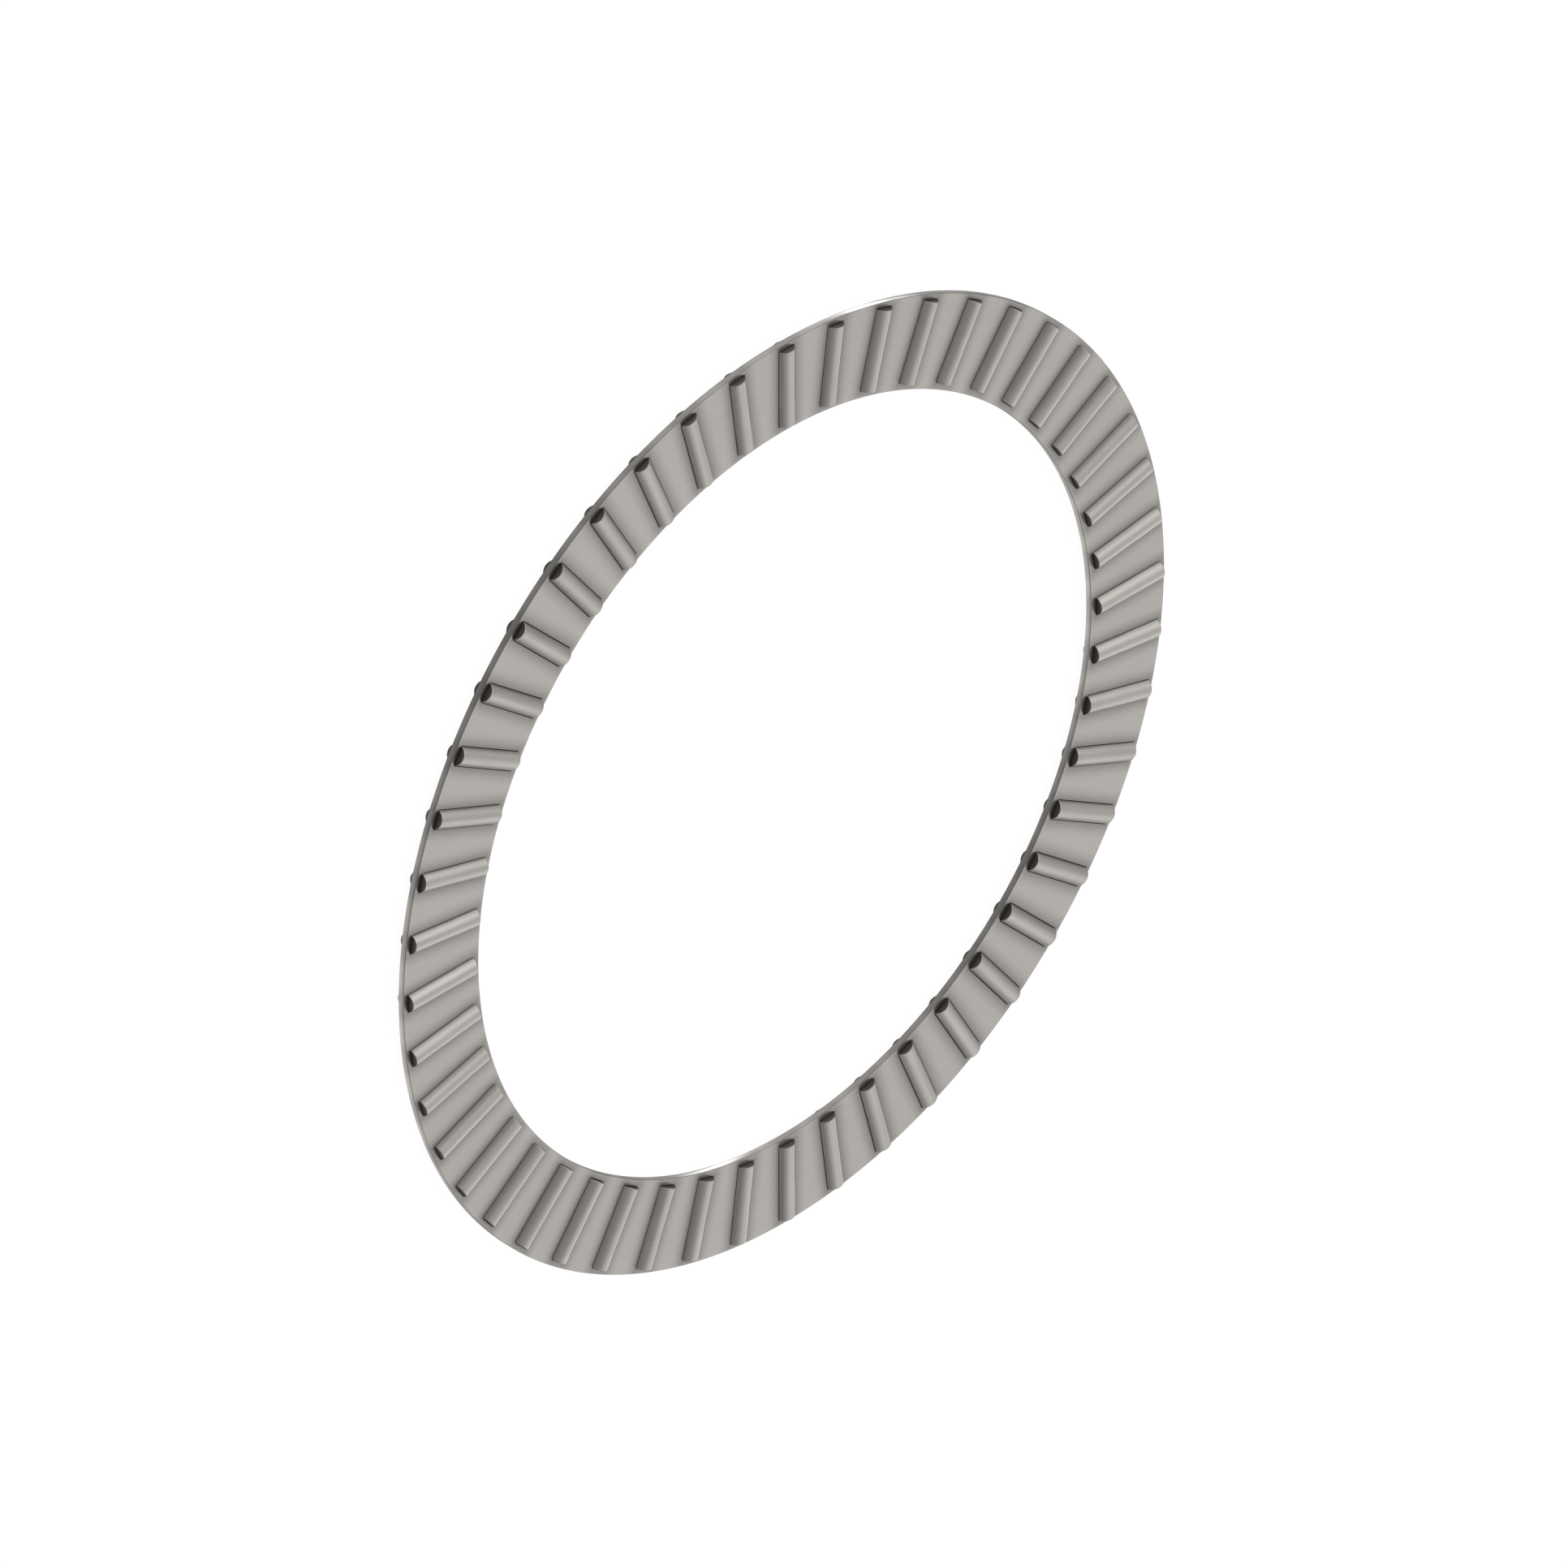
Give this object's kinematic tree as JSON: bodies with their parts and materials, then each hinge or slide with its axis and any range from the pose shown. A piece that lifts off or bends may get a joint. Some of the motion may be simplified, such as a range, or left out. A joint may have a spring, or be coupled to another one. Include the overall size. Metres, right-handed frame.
{
  "type": "thrust needle roller and cage assembly",
  "caption": "Thin flat ring cage with a full circle of radial cylindrical rollers that turn freely in its pockets, for axial load between two flat raceways.",
  "frame": {"origin": "centre of the bore, at the middle of the cage sheet's thickness", "axes": "+Z along the bearing's axis; +X along the axis of roller_01, which lies on a radius; the rollers are numbered from +X towards +Y"},
  "size_m": [0.0952, 0.0952, 0.002],
  "materials": {
    "cage_steel": "satin sheet steel, warm light grey, edges rolled smooth",
    "roller_steel": "ground and polished bearing steel, ends left darker"
  },
  "bodies": {
    "cage": {"cage": "cage_steel"},
    "roller_01": {"roller_01": "roller_steel"},
    "roller_02": {"roller_02": "roller_steel"},
    "roller_03": {"roller_03": "roller_steel"},
    "roller_04": {"roller_04": "roller_steel"},
    "roller_05": {"roller_05": "roller_steel"},
    "roller_06": {"roller_06": "roller_steel"},
    "roller_07": {"roller_07": "roller_steel"},
    "roller_08": {"roller_08": "roller_steel"},
    "roller_09": {"roller_09": "roller_steel"},
    "roller_10": {"roller_10": "roller_steel"},
    "roller_11": {"roller_11": "roller_steel"},
    "roller_12": {"roller_12": "roller_steel"},
    "roller_13": {"roller_13": "roller_steel"},
    "roller_14": {"roller_14": "roller_steel"},
    "roller_15": {"roller_15": "roller_steel"},
    "roller_16": {"roller_16": "roller_steel"},
    "roller_17": {"roller_17": "roller_steel"},
    "roller_18": {"roller_18": "roller_steel"},
    "roller_19": {"roller_19": "roller_steel"},
    "roller_20": {"roller_20": "roller_steel"},
    "roller_21": {"roller_21": "roller_steel"},
    "roller_22": {"roller_22": "roller_steel"},
    "roller_23": {"roller_23": "roller_steel"},
    "roller_24": {"roller_24": "roller_steel"},
    "roller_25": {"roller_25": "roller_steel"},
    "roller_26": {"roller_26": "roller_steel"},
    "roller_27": {"roller_27": "roller_steel"},
    "roller_28": {"roller_28": "roller_steel"},
    "roller_29": {"roller_29": "roller_steel"},
    "roller_30": {"roller_30": "roller_steel"},
    "roller_31": {"roller_31": "roller_steel"},
    "roller_32": {"roller_32": "roller_steel"},
    "roller_33": {"roller_33": "roller_steel"},
    "roller_34": {"roller_34": "roller_steel"},
    "roller_35": {"roller_35": "roller_steel"},
    "roller_36": {"roller_36": "roller_steel"},
    "roller_37": {"roller_37": "roller_steel"},
    "roller_38": {"roller_38": "roller_steel"},
    "roller_39": {"roller_39": "roller_steel"},
    "roller_40": {"roller_40": "roller_steel"},
    "roller_41": {"roller_41": "roller_steel"},
    "roller_42": {"roller_42": "roller_steel"},
    "roller_43": {"roller_43": "roller_steel"},
    "roller_44": {"roller_44": "roller_steel"},
    "roller_45": {"roller_45": "roller_steel"},
    "roller_46": {"roller_46": "roller_steel"},
    "roller_47": {"roller_47": "roller_steel"},
    "roller_48": {"roller_48": "roller_steel"}
  },
  "joints": [
    {"name": "roller_01_spin", "type": "hinge", "parent": "cage", "child": "roller_01", "pos_m": [0.04304, 0, 0], "axis": [1, 0, 0], "continuous": true},
    {"name": "roller_02_spin", "type": "hinge", "parent": "cage", "child": "roller_02", "pos_m": [0.04268, 0.00562, 0], "axis": [0.9914, 0.1305, 0], "continuous": true},
    {"name": "roller_03_spin", "type": "hinge", "parent": "cage", "child": "roller_03", "pos_m": [0.04158, 0.01114, 0], "axis": [0.9659, 0.2588, 0], "continuous": true},
    {"name": "roller_04_spin", "type": "hinge", "parent": "cage", "child": "roller_04", "pos_m": [0.03977, 0.01647, 0], "axis": [0.9239, 0.3827, 0], "continuous": true},
    {"name": "roller_05_spin", "type": "hinge", "parent": "cage", "child": "roller_05", "pos_m": [0.03728, 0.02152, 0], "axis": [0.866, 0.5, 0], "continuous": true},
    {"name": "roller_06_spin", "type": "hinge", "parent": "cage", "child": "roller_06", "pos_m": [0.03415, 0.0262, 0], "axis": [0.7934, 0.6088, 0], "continuous": true},
    {"name": "roller_07_spin", "type": "hinge", "parent": "cage", "child": "roller_07", "pos_m": [0.03044, 0.03044, 0], "axis": [0.7071, 0.7071, 0], "continuous": true},
    {"name": "roller_08_spin", "type": "hinge", "parent": "cage", "child": "roller_08", "pos_m": [0.0262, 0.03415, 0], "axis": [0.6088, 0.7934, 0], "continuous": true},
    {"name": "roller_09_spin", "type": "hinge", "parent": "cage", "child": "roller_09", "pos_m": [0.02152, 0.03728, 0], "axis": [0.5, 0.866, 0], "continuous": true},
    {"name": "roller_10_spin", "type": "hinge", "parent": "cage", "child": "roller_10", "pos_m": [0.01647, 0.03977, 0], "axis": [0.3827, 0.9239, 0], "continuous": true},
    {"name": "roller_11_spin", "type": "hinge", "parent": "cage", "child": "roller_11", "pos_m": [0.01114, 0.04158, 0], "axis": [0.2588, 0.9659, 0], "continuous": true},
    {"name": "roller_12_spin", "type": "hinge", "parent": "cage", "child": "roller_12", "pos_m": [0.00562, 0.04268, 0], "axis": [0.1305, 0.9914, 0], "continuous": true},
    {"name": "roller_13_spin", "type": "hinge", "parent": "cage", "child": "roller_13", "pos_m": [0, 0.04304, 0], "axis": [0, 1, 0], "continuous": true},
    {"name": "roller_14_spin", "type": "hinge", "parent": "cage", "child": "roller_14", "pos_m": [-0.00562, 0.04268, 0], "axis": [-0.1305, 0.9914, 0], "continuous": true},
    {"name": "roller_15_spin", "type": "hinge", "parent": "cage", "child": "roller_15", "pos_m": [-0.01114, 0.04158, 0], "axis": [-0.2588, 0.9659, 0], "continuous": true},
    {"name": "roller_16_spin", "type": "hinge", "parent": "cage", "child": "roller_16", "pos_m": [-0.01647, 0.03977, 0], "axis": [-0.3827, 0.9239, 0], "continuous": true},
    {"name": "roller_17_spin", "type": "hinge", "parent": "cage", "child": "roller_17", "pos_m": [-0.02152, 0.03728, 0], "axis": [-0.5, 0.866, 0], "continuous": true},
    {"name": "roller_18_spin", "type": "hinge", "parent": "cage", "child": "roller_18", "pos_m": [-0.0262, 0.03415, 0], "axis": [-0.6088, 0.7934, 0], "continuous": true},
    {"name": "roller_19_spin", "type": "hinge", "parent": "cage", "child": "roller_19", "pos_m": [-0.03044, 0.03044, 0], "axis": [-0.7071, 0.7071, 0], "continuous": true},
    {"name": "roller_20_spin", "type": "hinge", "parent": "cage", "child": "roller_20", "pos_m": [-0.03415, 0.0262, 0], "axis": [-0.7934, 0.6088, 0], "continuous": true},
    {"name": "roller_21_spin", "type": "hinge", "parent": "cage", "child": "roller_21", "pos_m": [-0.03728, 0.02152, 0], "axis": [-0.866, 0.5, 0], "continuous": true},
    {"name": "roller_22_spin", "type": "hinge", "parent": "cage", "child": "roller_22", "pos_m": [-0.03977, 0.01647, 0], "axis": [-0.9239, 0.3827, 0], "continuous": true},
    {"name": "roller_23_spin", "type": "hinge", "parent": "cage", "child": "roller_23", "pos_m": [-0.04158, 0.01114, 0], "axis": [-0.9659, 0.2588, 0], "continuous": true},
    {"name": "roller_24_spin", "type": "hinge", "parent": "cage", "child": "roller_24", "pos_m": [-0.04268, 0.00562, 0], "axis": [-0.9914, 0.1305, 0], "continuous": true},
    {"name": "roller_25_spin", "type": "hinge", "parent": "cage", "child": "roller_25", "pos_m": [-0.04304, 0, 0], "axis": [-1, 0, 0], "continuous": true},
    {"name": "roller_26_spin", "type": "hinge", "parent": "cage", "child": "roller_26", "pos_m": [-0.04268, -0.00562, 0], "axis": [-0.9914, -0.1305, 0], "continuous": true},
    {"name": "roller_27_spin", "type": "hinge", "parent": "cage", "child": "roller_27", "pos_m": [-0.04158, -0.01114, 0], "axis": [-0.9659, -0.2588, 0], "continuous": true},
    {"name": "roller_28_spin", "type": "hinge", "parent": "cage", "child": "roller_28", "pos_m": [-0.03977, -0.01647, 0], "axis": [-0.9239, -0.3827, 0], "continuous": true},
    {"name": "roller_29_spin", "type": "hinge", "parent": "cage", "child": "roller_29", "pos_m": [-0.03728, -0.02152, 0], "axis": [-0.866, -0.5, 0], "continuous": true},
    {"name": "roller_30_spin", "type": "hinge", "parent": "cage", "child": "roller_30", "pos_m": [-0.03415, -0.0262, 0], "axis": [-0.7934, -0.6088, 0], "continuous": true},
    {"name": "roller_31_spin", "type": "hinge", "parent": "cage", "child": "roller_31", "pos_m": [-0.03044, -0.03044, 0], "axis": [-0.7071, -0.7071, 0], "continuous": true},
    {"name": "roller_32_spin", "type": "hinge", "parent": "cage", "child": "roller_32", "pos_m": [-0.0262, -0.03415, 0], "axis": [-0.6088, -0.7934, 0], "continuous": true},
    {"name": "roller_33_spin", "type": "hinge", "parent": "cage", "child": "roller_33", "pos_m": [-0.02152, -0.03728, 0], "axis": [-0.5, -0.866, 0], "continuous": true},
    {"name": "roller_34_spin", "type": "hinge", "parent": "cage", "child": "roller_34", "pos_m": [-0.01647, -0.03977, 0], "axis": [-0.3827, -0.9239, 0], "continuous": true},
    {"name": "roller_35_spin", "type": "hinge", "parent": "cage", "child": "roller_35", "pos_m": [-0.01114, -0.04158, 0], "axis": [-0.2588, -0.9659, 0], "continuous": true},
    {"name": "roller_36_spin", "type": "hinge", "parent": "cage", "child": "roller_36", "pos_m": [-0.00562, -0.04268, 0], "axis": [-0.1305, -0.9914, 0], "continuous": true},
    {"name": "roller_37_spin", "type": "hinge", "parent": "cage", "child": "roller_37", "pos_m": [0, -0.04304, 0], "axis": [0, -1, 0], "continuous": true},
    {"name": "roller_38_spin", "type": "hinge", "parent": "cage", "child": "roller_38", "pos_m": [0.00562, -0.04268, 0], "axis": [0.1305, -0.9914, 0], "continuous": true},
    {"name": "roller_39_spin", "type": "hinge", "parent": "cage", "child": "roller_39", "pos_m": [0.01114, -0.04158, 0], "axis": [0.2588, -0.9659, 0], "continuous": true},
    {"name": "roller_40_spin", "type": "hinge", "parent": "cage", "child": "roller_40", "pos_m": [0.01647, -0.03977, 0], "axis": [0.3827, -0.9239, 0], "continuous": true},
    {"name": "roller_41_spin", "type": "hinge", "parent": "cage", "child": "roller_41", "pos_m": [0.02152, -0.03728, 0], "axis": [0.5, -0.866, 0], "continuous": true},
    {"name": "roller_42_spin", "type": "hinge", "parent": "cage", "child": "roller_42", "pos_m": [0.0262, -0.03415, 0], "axis": [0.6088, -0.7934, 0], "continuous": true},
    {"name": "roller_43_spin", "type": "hinge", "parent": "cage", "child": "roller_43", "pos_m": [0.03044, -0.03044, 0], "axis": [0.7071, -0.7071, 0], "continuous": true},
    {"name": "roller_44_spin", "type": "hinge", "parent": "cage", "child": "roller_44", "pos_m": [0.03415, -0.0262, 0], "axis": [0.7934, -0.6088, 0], "continuous": true},
    {"name": "roller_45_spin", "type": "hinge", "parent": "cage", "child": "roller_45", "pos_m": [0.03728, -0.02152, 0], "axis": [0.866, -0.5, 0], "continuous": true},
    {"name": "roller_46_spin", "type": "hinge", "parent": "cage", "child": "roller_46", "pos_m": [0.03977, -0.01647, 0], "axis": [0.9239, -0.3827, 0], "continuous": true},
    {"name": "roller_47_spin", "type": "hinge", "parent": "cage", "child": "roller_47", "pos_m": [0.04158, -0.01114, 0], "axis": [0.9659, -0.2588, 0], "continuous": true},
    {"name": "roller_48_spin", "type": "hinge", "parent": "cage", "child": "roller_48", "pos_m": [0.04268, -0.00562, 0], "axis": [0.9914, -0.1305, 0], "continuous": true}
  ]
}
